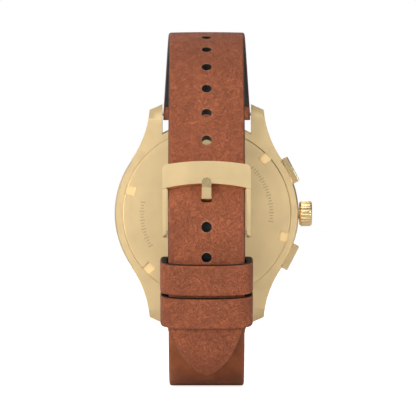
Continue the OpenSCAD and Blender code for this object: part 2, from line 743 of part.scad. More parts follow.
// Pointed hand along +Y on a pipe; tail is the length behind the pipe
module hand(length, w, tail, z, t, pipe_out, pipe_in, pipe_z) {
    difference() {
        union() {
            translate([0, 0, z]) linear_extrude(t) polygon([[-w * 0.35, -tail], [w * 0.35, -tail],
                [w / 2, length * 0.75], [0, length], [-w / 2, length * 0.75]]);
            translate([0, 0, z]) cylinder(r = pipe_out + 0.35, h = t);
            translate([0, 0, pipe_z]) cylinder(r = pipe_out, h = z - pipe_z + eps);
        }
        translate([0, 0, pipe_z - 1]) cylinder(r = pipe_in, h = 10, $fn = 32);
    }
}

hour_turn = -60;
minute_turn = 60;
module hour_hand() {
    color("gold") on_case() rotate(hour_turn) hand(8.6, 1.3, 2, 7.8, 0.15, 0.9, 0.78, 7.5);
}
module minute_hand() {
    color("gold") on_case() rotate(minute_turn) hand(13, 1.1, 2.4, 8.2, 0.15, 0.6, 0.48, 8.05);
}
module chrono_hand() {
    color("gold") on_case() hand(14.6, 0.4, 4, 8.65, 0.12, 0.4, 0.2, 8.5);
}

// Small hand whose own pipe turns in the dial
module small_hand(p, length, turn) {
    color("gold") on_case() translate(p) rotate(turn) hand(length, 0.5, 0.9, 7.45, 0.12, 0.3, 0.16, 7.3);
}
module seconds_hand() { small_hand(seconds_at, 3.4, 0); }
module counter_hand() { small_hand(counter_at, 3.4, 0); }
module day_hand() { small_hand(day_at, 3.4, -150); }

// Movement -----------------------------------------------------------------------------------

module movement_ring() {
    color("white") on_case() difference() {
        translate([0, 0, thread_z + fit]) ring(bore_r - fit, movement_r + fit,
            dial_z - thread_z - 2 * fit, $fn = 120);
        radial(0) cylinder(r = 0.9, h = 20);
        for (side = [-1, 1]) radial(side * pusher_angle) cylinder(r = 1.15, h = 20);
    }
}

module main_plate() {
    color("silver") on_case() difference() {
        union() {
            translate([0, 0, plate_z[0]]) cylinder(r = movement_r, h = plate_z[1] - plate_z[0], $fn = 120);
            for (p = pillars) translate([p[0], p[1], bridge_z[1]]) cylinder(r = 0.9, h = 3.1);
            translate([(groove_x[0] + groove_x[1]) / 2, lever_arm, 4.2])
                cylinder(r = 0.3, h = 1.2, $fn = 24);
            translate([minute_wheel_at[0], minute_wheel_at[1], 6]) cylinder(r = 0.25, h = 0.72, $fn = 24);
            translate([day_idler_at[0], day_idler_at[1], 6]) cylinder(r = 0.25, h = 0.72, $fn = 24);
        }
        cylinder(r = 0.6, h = 10);
        for (p = [seconds_at, counter_at, day_at]) translate(p) cylinder(r = 0.22, h = 10, $fn = 24);
        for (p = [third_at, chrono_idler_at, time_rotor_at, chrono_rotor_at])
            translate([p[0], p[1], 4]) cylinder(r = 0.2, h = 1.9, $fn = 24);
        for (a = [110, 290]) rotate(a) translate([13.2, 0, 4]) cylinder(r = 0.4, h = 4, $fn = 24);
        for (p = pillars) translate([p[0], p[1], 0]) cylinder(r = 0.4, h = 4, $fn = 24);
    }
}

module train_bridge() {
    color("silver") on_case() difference() {
        translate([0, 0, bridge_z[0]]) cylinder(r = movement_r, h = bridge_z[1] - bridge_z[0], $fn = 120);
        translate([battery_at[0], battery_at[1], 0]) cylinder(r = battery_r + 0.2, h = 5);
        cylinder(r = 0.25, h = 5, $fn = 32);
        for (p = [seconds_at, counter_at, third_at, chrono_idler_at, time_rotor_at, chrono_rotor_at])
            translate(p) cylinder(r = 0.21, h = 5, $fn = 24);
        for (p = pillars) translate([p[0], p[1], 0]) cylinder(r = 0.45, h = 5, $fn = 24);
    }
}

module hour_wheel() {
    color("goldenrod") on_case() difference() {
        union() {
            translate([0, 0, layer_hour]) gear(hour_teeth, hour_module, wheel_t);
            translate([0, 0, layer_hour]) cylinder(r = 0.78, h = 1.4);
        }
        cylinder(r = 0.54, h = 10);
    }
}

// Centre wheel of the going train, with the cannon pinion and the pipe that carries the minute hand
module centre_wheel() {
    color("goldenrod") on_case() difference() {
        union() {
            translate([0, 0, layer_a]) gear(centre_teeth, train_module, wheel_t);
            translate([0, 0, layer_motion]) gear(cannon_teeth, motion_module, wheel_t);
            translate([0, 0, layer_a]) cylinder(r = 0.48, h = 8.3 - layer_a);
        }
        cylinder(r = 0.25, h = 10, $fn = 32);
    }
}

module minute_wheel() {
    color("goldenrod") on_case() translate(minute_wheel_at) difference() {
        union() {
            translate([0, 0, layer_motion]) gear(minute_teeth, motion_module, wheel_t, 240 + 5);
            translate([0, 0, layer_motion]) gear(hour_pinion_teeth, hour_module, 0.45, 240 + 18);
        }
        cylinder(r = 0.3, h = 10, $fn = 24);
    }
}

module day_idler() {
    color("goldenrod") on_case() translate([day_idler_at[0], day_idler_at[1], layer_hour]) difference() {
        gear(day_idler_teeth, hour_module, wheel_t, 0);
        translate([0, 0, -1]) cylinder(r = 0.3, h = 3, $fn = 24);
    }
}

module day_wheel() {
    color("goldenrod") on_case() translate(day_at) {
        translate([0, 0, layer_hour]) gear(day_teeth, hour_module, wheel_t);
        arbor(5.4, 7.57, 0.16);
    }
}

module third_wheel() {
    color("goldenrod") on_case() translate(third_at) {
        translate([0, 0, layer_b]) gear(third_teeth, train_module, wheel_t);
        translate([0, 0, layer_b]) gear(leaf, train_module, layer_a - layer_b + wheel_t);
        arbor(1.9, 5.7);
    }
}

module fourth_wheel() {
    color("goldenrod") on_case() translate(seconds_at) {
        translate([0, 0, layer_b]) gear(leaf, train_module, wheel_t);
        translate([0, 0, layer_d]) gear(36, train_module, wheel_t);
        arbor(1.9, 7.57, 0.16);
    }
}

module chrono_wheel() {
    color("goldenrod") on_case() {
        translate([0, 0, layer_c]) gear(leaf, train_module, wheel_t);
        translate([0, 0, layer_d]) gear(44, train_module, wheel_t);
        arbor(1.9, 8.77, 0.2);
    }
}

module chrono_idler() {
    color("goldenrod") on_case() translate(chrono_idler_at) {
        translate([0, 0, layer_c]) gear(third_teeth, train_module, wheel_t);
        translate([0, 0, layer_c]) gear(leaf, train_module, layer_b - layer_c + wheel_t);
        arbor(1.9, 5.7);
    }
}

module counter_wheel() {
    color("goldenrod") on_case() translate(counter_at) {
        translate([0, 0, layer_b]) gear(centre_teeth, train_module, wheel_t);
        arbor(1.9, 7.57, 0.16);
    }
}

module rotor(p) {
    color("dimgray") on_case() translate(p) {
        translate([0, 0, 3.2]) cylinder(r = 0.85, h = 0.9);
        translate([0, 0, 2.6]) gear(leaf, 0.09, 0.7);
        arbor(1.9, 5.7);
    }
}
module time_rotor() { rotor(time_rotor_at); }
module chrono_rotor() { rotor(chrono_rotor_at); }

// Soft-iron plate round each rotor, joined to its coil's core at both ends
module stators() {
    color("slategray") on_case() for (p = [time_rotor_at, chrono_rotor_at])
        translate([p[0], p[1], 3.45]) difference() {
            translate([-1.5, -1.4, 0]) cube([7.6, 2.8, 0.35]);
            translate([0, 0, -1]) cylinder(r = 1.0, h = 3);
        }
}

module coils() {
    color("chocolate") on_case() for (p = [time_rotor_at, chrono_rotor_at])
        translate([p[0] + 0.2, p[1] + 3, 3.5]) rotate([0, 90, 0]) difference() {
            cylinder(r = 0.95, h = 5.8);
            translate([0, 0, -1]) cylinder(r = 0.3, h = 8, $fn = 24);
        }
}

module circuit_board() {
    color("darkgreen") on_case() difference() {
        union() {
            translate([0, 0, 1.5]) cylinder(r = movement_r - 0.4, h = 0.2, $fn = 120);
            translate([-2, 8, 1.25]) cube([3.4, 3.4, 0.3]);
        }
        translate([battery_at[0], battery_at[1], 0]) cylinder(r = battery_r + 0.4, h = 5);
        translate([0, -movement_r, 0]) cube([2 * movement_r, 2 * movement_r, 5]);
        for (p = pillars) translate([p[0], p[1], 0]) cylinder(r = 1, h = 5, $fn = 32);
    }
}

module battery() {
    color("silver") on_case() translate([battery_at[0], battery_at[1], battery_z[0]]) {
        cylinder(r = battery_r - 0.9, h = 0.4);
        translate([0, 0, 0.35]) cylinder(r = battery_r, h = battery_z[1] - battery_z[0] - 0.35);
    }
}

module battery_clamp() {
    color("silver") on_case() difference() {
        rotate(battery_angle) translate([4.2, -1, 1.0]) cube([10.2, 2, 0.12]);
        rotate(battery_angle) translate([4.9, 0, 0]) cylinder(r = 0.4, h = 5, $fn = 24);
    }
}

module quartz_can() {
    color("silver") on_case() translate([-9.4, 8.2, 3.5]) rotate([0, 90, 0]) {
        cylinder(r = 0.95, h = 5.6);
        for (y = [-0.35, 0.35]) translate([0, y, -0.9]) cylinder(r = 0.12, h = 1, $fn = 16);
    }
}

module movement_screws() {
    color("silver") on_case() for (p = pillars) translate([p[0], p[1], 0]) difference() {
        union() {
            translate([0, 0, 1.3]) cylinder(r = 0.8, h = 0.5 - eps, $fn = 32);
            translate([0, 0, 1.7]) cylinder(r = 0.39, h = 2, $fn = 24);
        }
        translate([-1, -0.1, 1]) cube([2, 0.2, 0.5]);
    }
}

mid_case();
bezel();
crystal();
case_back();
case_gaskets();
movement_ring();
crown();
crown_gasket();
crown_tube();
winding_stem();
clutch_pinion();
setting_lever();
start_pusher();
reset_pusher();
pusher_tubes();
start_spring();
reset_spring();
start_clip();
reset_clip();
strap_long();
lining_long();
strap_short();
lining_short();
fixed_keeper();
floating_keeper();
lug_bars();
lug_bar_pins();
buckle_frame();
buckle_tongue();
buckle_bar();
dial();
dial_markers();
flange_ring();
hour_hand();
minute_hand();
chrono_hand();
seconds_hand();
counter_hand();
day_hand();
main_plate();
train_bridge();
centre_wheel();
hour_wheel();
minute_wheel();
day_idler();
day_wheel();
third_wheel();
fourth_wheel();
chrono_wheel();
chrono_idler();
counter_wheel();
time_rotor();
chrono_rotor();
stators();
coils();
circuit_board();
battery();
battery_clamp();
quartz_can();
movement_screws();
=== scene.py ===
"""Looks of the chronograph wristwatch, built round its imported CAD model. Lengths are in millimetres
until a mesh is written, and strap shapes are worked out in strap coordinates: x across the strap,
s along its inner face from the 6 o'clock bar, n outward from that face."""

import json
import math

import bmesh
import bpy
import numpy as np
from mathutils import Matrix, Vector

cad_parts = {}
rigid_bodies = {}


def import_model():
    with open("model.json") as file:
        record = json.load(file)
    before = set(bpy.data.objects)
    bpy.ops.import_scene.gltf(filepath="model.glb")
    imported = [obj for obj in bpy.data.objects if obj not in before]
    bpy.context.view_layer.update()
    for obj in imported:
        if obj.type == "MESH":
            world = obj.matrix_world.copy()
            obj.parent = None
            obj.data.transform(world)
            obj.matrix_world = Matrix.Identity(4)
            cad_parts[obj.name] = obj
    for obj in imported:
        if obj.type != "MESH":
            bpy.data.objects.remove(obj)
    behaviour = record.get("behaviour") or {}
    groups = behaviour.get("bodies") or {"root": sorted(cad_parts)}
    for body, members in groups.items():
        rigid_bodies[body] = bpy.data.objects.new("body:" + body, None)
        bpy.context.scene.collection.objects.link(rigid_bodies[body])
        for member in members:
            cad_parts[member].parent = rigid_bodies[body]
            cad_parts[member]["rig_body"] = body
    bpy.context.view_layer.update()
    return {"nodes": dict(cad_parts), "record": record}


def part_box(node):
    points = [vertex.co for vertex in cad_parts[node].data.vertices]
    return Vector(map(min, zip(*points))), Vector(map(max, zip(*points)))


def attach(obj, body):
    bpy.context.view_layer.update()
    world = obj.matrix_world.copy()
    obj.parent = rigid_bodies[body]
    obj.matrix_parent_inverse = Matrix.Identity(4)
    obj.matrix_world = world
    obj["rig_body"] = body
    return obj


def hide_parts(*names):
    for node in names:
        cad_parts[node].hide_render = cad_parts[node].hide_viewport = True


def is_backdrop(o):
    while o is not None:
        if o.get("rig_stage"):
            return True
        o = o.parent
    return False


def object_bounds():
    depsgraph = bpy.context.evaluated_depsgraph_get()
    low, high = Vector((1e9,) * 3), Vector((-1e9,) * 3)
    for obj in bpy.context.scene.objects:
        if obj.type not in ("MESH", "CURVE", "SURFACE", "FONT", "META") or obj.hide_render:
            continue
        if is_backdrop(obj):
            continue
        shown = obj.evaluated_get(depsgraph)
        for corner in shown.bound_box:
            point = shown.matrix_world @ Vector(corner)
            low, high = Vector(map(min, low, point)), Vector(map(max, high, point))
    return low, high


MM = 0.001
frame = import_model()
nodes = frame["nodes"]
slot_of = {p["node"]: p["material_slot"] for p in frame["record"]["subparts"]}

# --- Materials -------------------------------------------------------------------------------


class Maker:
    """A Principled material and short ways to add the nodes that feed it."""

    def __init__(self, name, **plain):
        self.material = bpy.data.materials.new(name)
        self.material.use_nodes = True
        self.tree = self.material.node_tree
        self.shader = self.tree.nodes["Principled BSDF"]
        for socket, value in plain.items():
            self.shader.inputs[socket.replace("_", " ")].default_value = value

    def add(self, kind, settings=(), **inputs):
        node = self.tree.nodes.new("ShaderNode" + kind)
        for key, value in dict(settings).items():
            setattr(node, key, value)
        for key, value in inputs.items():
            socket = node.inputs[int(key[1:])] if key[1:].isdigit() else node.inputs[key.replace("_", " ")]
            if isinstance(value, bpy.types.NodeSocket):
                self.tree.links.new(value, socket)
            else:
                socket.default_value = value
        return node

    def place(self, stretch=(1, 1, 1), attribute=None):
        """Position in millimetres, or a mesh's own coordinates, stretched on each axis."""
        if attribute:
            source, factor = self.add("Attribute", {"attribute_name": attribute}).outputs["Vector"], 1
        else:
            source, factor = self.add("TexCoord").outputs["Object"], 1 / MM
        scale = tuple(factor * k for k in stretch)
        return self.add("Mapping", Vector=source, Scale=scale).outputs["Vector"]

    def noise(self, place, scale, detail=4, rough=0.55):
        return self.add("TexNoise", Vector=place, Scale=scale, Detail=detail, Roughness=rough).outputs[0]

    def ramp(self, value, *stops):
        """stops are (position, value) with a grey level or a colour."""
        node = self.add("ValToRGB", Fac=value)
        ends = node.color_ramp.elements
        while len(ends) < len(stops):
            ends.new(0.5)
        for end, (at, level) in zip(ends, stops):
            end.position = at
            end.color = (*level, 1) if isinstance(level, tuple) else (level, level, level, 1)
        return node.outputs[0]

    def mix(self, a, b, share):
        node = self.add("Mix", {"data_type": "RGBA"})
        for index, value in ((0, share), (6, a), (7, b)):
            if isinstance(value, bpy.types.NodeSocket):
                self.tree.links.new(value, node.inputs[index])
            else:
                node.inputs[index].default_value = (*value, 1) if isinstance(value, tuple) else value
        return node.outputs[2]

    def math(self, kind, a, b=0.0):
        return self.add("Math", {"operation": kind}, _0=a, _1=b).outputs[0]

    def bump(self, height, strength, depth, under=None):
        node = self.add("Bump", Height=height, Strength=strength, Distance=depth * MM)
        if under:
            self.tree.links.new(under, node.inputs["Normal"])
        return node.outputs[0]

    def to(self, socket, value):
        self.tree.links.new(value, self.shader.inputs[socket])


def shade(colour, factor):
    return tuple(min(1.0, c * factor) for c in colour)


GOLD = (0.90, 0.68, 0.365)


def satin_metal(name, stretch, colour):
    """Plating with fine brush lines across the axis that stretch squeezes."""
    m = Maker(name, Metallic=1.0)
    lines = m.noise(m.place(stretch), 1.6, 6, 0.65)
    cloud = m.noise(m.place(), 0.16, 2)
    m.to("Base Color", m.mix(shade(colour, 0.93), shade(colour, 1.04), m.ramp(cloud, (0.3, 0.0), (0.7, 1.0))))
    m.to("Roughness", m.ramp(lines, (0.3, 0.30), (0.7, 0.42)))
    m.to("Normal", m.bump(lines, 0.35, 0.02))
    return m.material


def turned_gold(name):
    """Case back: satin lines that run in circles round the middle, as turning leaves them."""
    m = Maker(name, Metallic=1.0)
    place = m.place((1, 0, 1))
    radius = m.add("VectorMath", {"operation": "LENGTH"}, _0=place).outputs["Value"]
    circles = m.add("CombineXYZ", X=m.math("MULTIPLY", radius, 3.0), Y=m.math("MULTIPLY", radius, 1.3))
    lines = m.noise(circles.outputs[0], 2.2, 7, 0.7)
    cloud = m.noise(m.place(), 0.12, 2)
    m.to("Base Color", m.mix(shade(GOLD, 0.90), shade(GOLD, 1.03), m.ramp(cloud, (0.3, 0.0), (0.7, 1.0))))
    m.to("Roughness", m.ramp(lines, (0.3, 0.30), (0.7, 0.44)))
    m.to("Normal", m.bump(lines, 0.5, 0.03))
    return m.material


def bright_metal(name, colour, rough):
    """Polished or nickel-plated metal with faint wipe marks."""
    m = Maker(name, Metallic=1.0)
    wipes = m.noise(m.place((1, 0.3, 1)), 1.1, 5, 0.6)
    m.to("Base Color", m.mix(shade(colour, 0.92), shade(colour, 1.04), wipes))
    m.to("Roughness", m.ramp(wipes, (0.25, rough * 0.8), (0.75, rough * 1.35)))
    m.to("Normal", m.bump(m.noise(m.place(), 5, 3), 0.2, 0.004))
    return m.material


def sunray(name, colour):
    """Dial: fine lines that run out from the centre."""
    m = Maker(name, Metallic=0.55)
    place = m.add("SeparateXYZ", Vector=m.place())
    angle = m.math("ARCTAN2", place.outputs["X"], place.outputs["Z"])
    turn = m.add("CombineXYZ", X=m.math("SINE", angle), Y=m.math("COSINE", angle))
    rays = m.noise(turn.outputs[0], 60, 4, 0.7)
    m.to("Base Color", m.mix(shade(colour, 0.9), shade(colour, 1.05), rays))
    m.to("Roughness", m.ramp(rays, (0.3, 0.28), (0.7, 0.42)))
    m.to("Normal", m.bump(rays, 0.3, 0.01))
    return m.material


def leather(name, colour):
    """Milled leather: fine wandering wrinkles with painted shade in the creases, shallow pores, dark painted
    edges, painted shade down the hole walls and round the tongue, and a lighter raw ring round each punched
    hole. The strap coordinates and the masks edge (edge paint and painted shade) and hole are stored on the
    mesh."""
    m = Maker(name, Specular_IOR_Level=0.28)
    place = m.place((1, 1, 1), "strap")
    drift = m.noise(place, 0.2, 4, 0.6)
    patches = m.noise(place, 0.75, 4, 0.6)
    creases = []
    for scale, width in ((1.05, 0.05), (2.3, 0.08)):
        swirl = m.add("TexNoise", Vector=place, Scale=scale, Detail=4, Roughness=0.55, Distortion=1.4)
        from_middle = m.math("SUBTRACT", swirl.outputs[0], 0.5)
        creases.append(m.ramp(m.math("ABSOLUTE", from_middle), (0.0, 0.0), (width, 1.0)))
    pores = m.noise(place, 5.0, 4, 0.6)
    tone = m.mix(shade(colour, 0.84), shade(colour, 1.12), m.ramp(drift, (0.35, 0.0), (0.65, 1.0)))
    tone = m.mix(tone, shade(colour, 0.72), m.ramp(patches, (0.48, 0.0), (0.72, 0.75)))
    # painted shade: both sizes of crease are painted darker, on top of their bump
    tone = m.mix(shade(colour, 0.42), tone, m.ramp(creases[0], (0.0, 0.5), (1.0, 1.0)))
    tone = m.mix(shade(colour, 0.5), tone, m.ramp(creases[1], (0.0, 0.55), (1.0, 1.0)))
    tone = m.mix(tone, shade(colour, 0.7), m.ramp(pores, (0.52, 0.0), (0.75, 0.5)))
    hole = m.add("Attribute", {"attribute_name": "hole"}).outputs["Fac"]
    edge = m.add("Attribute", {"attribute_name": "edge"}).outputs["Fac"]
    tone = m.mix(tone, (0.40, 0.20, 0.11), m.ramp(hole, (0.0, 0.75), (0.04, 0.6), (0.1, 0.0)))
    # the edge mask gives the dark edge paint, and painted shade on the hole walls and round the tongue
    tone = m.mix(tone, (0.022, 0.014, 0.011), edge)
    m.to("Base Color", tone)
    m.to("Roughness", m.ramp(pores, (0.3, 0.38), (0.7, 0.56)))
    relief = m.bump(pores, 0.3, 0.04)
    relief = m.bump(creases[1], 0.65, 0.1, relief)
    m.to("Normal", m.bump(creases[0], 0.7, 0.15, relief))
    return m.material


def smooth_leather(name, colour, gloss):
    """Close-grained leather, as on the lining and the plain end of the strap."""
    m = Maker(name, Specular_IOR_Level=0.4)
    place = m.place((1, 1, 1), "strap")
    pores = m.noise(place, 4.0, 5, 0.65)
    drift = m.noise(place, 0.3, 2)
    tone = m.mix(shade(colour, 0.75), shade(colour, 1.2), m.ramp(drift, (0.3, 0.0), (0.7, 1.0)))
    tone = m.mix(tone, shade(colour, 0.6), m.ramp(pores, (0.5, 0.0), (0.8, 0.6)))
    m.to("Base Color", tone)
    m.to("Roughness", m.ramp(pores, (0.3, gloss), (0.7, gloss + 0.15)))
    m.to("Normal", m.bump(pores, 0.4, 0.05))
    return m.material


def moulded(name, colour, rough):
    """Plastic, rubber, enamel or sintered material with a fine surface."""
    m = Maker(name)
    grain = m.noise(m.place(), 3.0, 4)
    m.to("Base Color", m.mix(shade(colour, 0.85), shade(colour, 1.12), grain))
    m.to("Roughness", m.ramp(grain, (0.3, rough * 0.85), (0.7, min(1, rough * 1.2))))
    m.to("Normal", m.bump(grain, 0.25, 0.02))
    return m.material


def copper_winding(name):
    """Enamelled wire laid side by side along the coil."""
    m = Maker(name, Metallic=0.75)
    wire = m.add("TexWave", {"wave_type": "BANDS", "bands_direction": "X"}, Vector=m.place(), Scale=2.2,
                 Distortion=0.4, Detail=1).outputs[1]
    m.to("Base Color", m.mix((0.30, 0.09, 0.03), (0.72, 0.30, 0.12), wire))
    m.to("Roughness", m.ramp(wire, (0.0, 0.45), (1.0, 0.28)))
    m.to("Normal", m.bump(wire, 0.8, 0.05))
    return m.material


def circuit(name):
    """Solder mask over copper tracks."""
    m = Maker(name)
    tracks = m.add("TexBrick", Vector=m.place((1, 1, 1)), Scale=0.9, _6=0.03).outputs[0]
    grain = m.noise(m.place(), 3, 3)
    m.to("Base Color", m.mix(m.mix((0.02, 0.14, 0.06), (0.05, 0.26, 0.12), tracks), (0.03, 0.2, 0.1), grain))
    m.to("Roughness", m.ramp(grain, (0.3, 0.3), (0.7, 0.45)))
    m.to("Normal", m.bump(tracks, 0.4, 0.03))
    return m.material


def clear_glass(name):
    m = Maker(name, Transmission_Weight=1.0, IOR=1.5)
    smear = m.noise(m.place(), 0.3, 3)
    m.to("Roughness", m.ramp(smear, (0.4, 0.01), (0.8, 0.05)))
    m.to("Base Color", m.mix((0.97, 0.985, 0.98), (1.0, 1.0, 1.0), smear))
    return m.material


TAN = (0.435, 0.122, 0.050)
STEEL = (0.62, 0.62, 0.63)
finish = {
    "gold_satin": satin_metal("gold_satin", (0.25, 1, 3.5), shade(GOLD, 1.03)),
    "gold_polished": bright_metal("gold_polished", GOLD, 0.2),
    "crystal_glass": clear_glass("crystal_glass"),
    "gasket": moulded("gasket", (0.03, 0.03, 0.03), 0.6),
    "leather": leather("leather", TAN),
    "leather_smooth": smooth_leather("leather_smooth", (0.29, 0.078, 0.022), gloss=0.5),
    "lining": smooth_leather("lining", (0.02, 0.018, 0.017), gloss=0.55),
    "steel": bright_metal("steel", STEEL, 0.28),
    "spring_steel": bright_metal("spring_steel", (0.5, 0.52, 0.55), 0.2),
    "dial_silver": sunray("dial_silver", (0.80, 0.77, 0.68)),
    "nickel": satin_metal("nickel", (3, 1, 0.3), (0.62, 0.60, 0.56)),
    "wheel_brass": bright_metal("wheel_brass", (0.78, 0.56, 0.24), 0.26),
    "magnet": moulded("magnet", (0.10, 0.10, 0.11), 0.4),
    "stator_iron": bright_metal("stator_iron", (0.40, 0.42, 0.45), 0.35),
    "coil_copper": copper_winding("coil_copper"),
    "circuit": circuit("circuit"),
    "spacer": moulded("spacer", (0.78, 0.78, 0.76), 0.5),
    "battery_steel": bright_metal("battery_steel", (0.70, 0.70, 0.70), 0.22),
}
case_back_gold = turned_gold("case_back_gold")


# --- Mesh helpers ----------------------------------------------------------------------------


def new_object(name, verts, faces, material, smooth=True):
    """verts in millimetres in the row frame."""
    mesh = bpy.data.meshes.new(name)
    mesh.from_pydata([tuple(c * MM for c in v) for v in verts], [], faces)
    mesh.materials.append(material)
    bm = bmesh.new()
    bm.from_mesh(mesh)
    bmesh.ops.recalc_face_normals(bm, faces=bm.faces)
    bm.to_mesh(mesh)
    bm.free()
    for polygon in mesh.polygons:
        polygon.use_smooth = smooth
    obj = bpy.data.objects.new(name, mesh)
    bpy.context.scene.collection.objects.link(obj)
    return obj


def tube(rows):
    """Faces of a closed skin over rows of equally many points, with flat ends."""
    across = len(rows[0])
    verts = [p for row in rows for p in row]
    faces = [
        (across * i + k, across * i + (k + 1) % across,
         across * (i + 1) + (k + 1) % across, across * (i + 1) + k)
        for i in range(len(rows) - 1)
        for k in range(across)
    ]
    last = across * (len(rows) - 1)
    faces += [tuple(range(across)), tuple(last + k for k in range(across - 1, -1, -1))]
    return verts, faces


def apply_modifiers(obj):
    bpy.context.view_layer.update()
    graph = bpy.context.evaluated_depsgraph_get()
    mesh = bpy.data.meshes.new_from_object(obj.evaluated_get(graph))
    obj.modifiers.clear()
    obj.data = mesh
    return obj


def cut(obj, cutters):
    for cutter in cutters:
        step = obj.modifiers.new("cut", "BOOLEAN")
        step.operation, step.solver, step.object = "DIFFERENCE", "EXACT", cutter
    apply_modifiers(obj)
    return obj


def drop(objects):
    for obj in objects:
        bpy.data.objects.remove(obj)


def smooth_by_angle(obj, degrees=35):
    limit = math.radians(degrees)
    bm = bmesh.new()
    bm.from_mesh(obj.data)
    for face in bm.faces:
        face.smooth = True
    for edge in bm.edges:
        edge.smooth = len(edge.link_faces) == 2 and edge.calc_face_angle(0) < limit
    bm.to_mesh(obj.data)
    bm.free()


def softened(node, width, material=None):
    """A copy of a CAD node with its edges rounded, which stands for that node."""
    source = nodes[node]
    obj = bpy.data.objects.new(node + "_finish", source.data.copy())
    bpy.context.scene.collection.objects.link(obj)
    obj.data.materials.clear()
    obj.data.materials.append(material or finish[slot_of[node]])
    bm = bmesh.new()
    bm.from_mesh(obj.data)
    bmesh.ops.remove_doubles(bm, verts=bm.verts, dist=1e-7)
    bmesh.ops.dissolve_limit(bm, angle_limit=math.radians(0.4), verts=bm.verts, edges=bm.edges)
    bm.to_mesh(obj.data)
    bm.free()
    bevel = obj.modifiers.new("round", "BEVEL")
    bevel.width, bevel.segments, bevel.limit_method = width * MM, 3, "ANGLE"
    bevel.angle_limit, bevel.use_clamp_overlap = math.radians(28), True
    apply_modifiers(obj)
    smooth_by_angle(obj, 32)
    obj.modifiers.new("flats", "WEIGHTED_NORMAL").keep_sharp = True
    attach(obj, source["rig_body"])
    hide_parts(node)
    return obj


# --- Strap coordinates -----------------------------------------------------------------------

STRAP_ARCS = [(25, 72), (10, 27), (12, 22), (13, 17), (14, 13), (15, 37.5), (18, 0), (8.5, 32.5),
              (12, 35), (15.5, 29), (16, 17)]
START_ANGLE = 13
BAR_REACH, BAR_HEIGHT = 22.7, 2.0
LUG_PAD, SHORT_T, LONG_T, LINING_T = 2.8, 2.6, 2.2, 0.6
SHORT_GAP, BAR_S, CLIMB = 0.1, 84.6, 13
LUG_W, STRAP_W, LONG_TAPER, SHORT_TAPER = 19.8, 16.2, 45, 16
LONG_END, TIP = 115, 12
KEEPER_S, KEEPER_L, KEEPER_T, KEEPER_GAP = 89.75, 6.9, 1.4, 0.7
KEEPER_LEAN = 9      # degrees that a keeper leans from square to the strap
KEEPER_BOW = 0.5     # how far its sides stand above its middle
NOTCH_DEPTH = 0.55   # key notches in the case back
HOLE_D, HOLE_PITCH, FIRST_HOLE, HOLES = 2.2, 6.35, 36.8, 10
TONGUE_W, TONGUE_T = 2.0, 0.9
TONGUE_LINE = [(0, 0), (3.2, -0.35), (5.2, 0.1), (7.1, 2.55), (8.4, 3.45)]
TONGUE_SWING = 5
# painted shade on the walls round the tongue: reach from the bar, and room past its side
SLOT_NEAR, SLOT_FAR, SLOT_SIDE = 3.5, 11, 0.25
MASK_LEVEL = 1.4     # height above the inner face at which s is measured for the masks
total_s = sum(length for length, _ in STRAP_ARCS)


def clamp(v, lo=0.0, hi=1.0):
    return max(lo, min(hi, v))


def ease(v):
    v = clamp(v)
    return v * v * (3 - 2 * v)


def heading(s):
    """Direction of the inner face at s, in radians."""
    turned, start = START_ANGLE, 0
    for length, turn in STRAP_ARCS:
        turned += clamp((s - start) / length) * turn
        start += length
    return math.radians(turned)


def along(s):
    return np.array([-math.sin(heading(s)), math.cos(heading(s))])


def outward(s):
    return np.array([math.cos(heading(s)), math.sin(heading(s))])


PATH_STEP = 0.5
steps = round(total_s / PATH_STEP)
path = [np.array([BAR_HEIGHT, BAR_REACH]) - outward(0) * LUG_PAD / 2]
for i in range(steps):
    path.append(path[-1] + along((i + 0.5) * PATH_STEP) * PATH_STEP)
miss = np.array([BAR_HEIGHT, -BAR_REACH]) - outward(total_s) * SHORT_T / 2 - path[-1]
path = [p + miss * i / steps for i, p in enumerate(path)]


def at(s, n):
    """(Y, Z) of a point; beyond either end the strap runs on straight."""
    i = int(clamp(s / PATH_STEP, 0, steps - 1))
    share = clamp(s / PATH_STEP - i)
    over = s - clamp(s, 0, total_s)
    return path[i] * (1 - share) + path[i + 1] * share + along(s) * over + outward(s) * n


def long_base(s):
    return (SHORT_T + SHORT_GAP) * ease((s - BAR_S + CLIMB + 0.5) / CLIMB)


def long_thick(s):
    return LUG_PAD + (LONG_T - LUG_PAD) * clamp(s / 30)


def long_top(s):
    return long_base(s) + long_thick(s)


def strap_width(s):
    if s < total_s / 2:
        share = (1 - clamp(s / LONG_TAPER)) ** 2
    else:
        share = (1 - clamp((total_s - s) / SHORT_TAPER)) ** 3
    return STRAP_W + (LUG_W - STRAP_W) * share


def long_width(s):
    return strap_width(s) * (1 - (1 - clamp((LONG_END - s) / TIP, 0.0004)) ** 1.6) ** 0.65


def hole_places():
    """Holes keep their pitch along the middle of the leather."""
    out, run, wanted = [], 0.0, FIRST_HOLE
    last = at(0, long_base(0) + long_thick(0) / 2)
    for i in range(1, steps + 1):
        s = i * PATH_STEP
        here = at(s, long_base(s) + long_thick(s) / 2)
        stride = float(np.linalg.norm(here - last))
        while len(out) < HOLES and run + stride >= wanted:
            out.append(s - PATH_STEP * (run + stride - wanted) / stride)
            wanted += HOLE_PITCH
        run, last = run + stride, here
    return out


hole_s = hole_places()
bar_at = at(BAR_S, SHORT_T / 2)


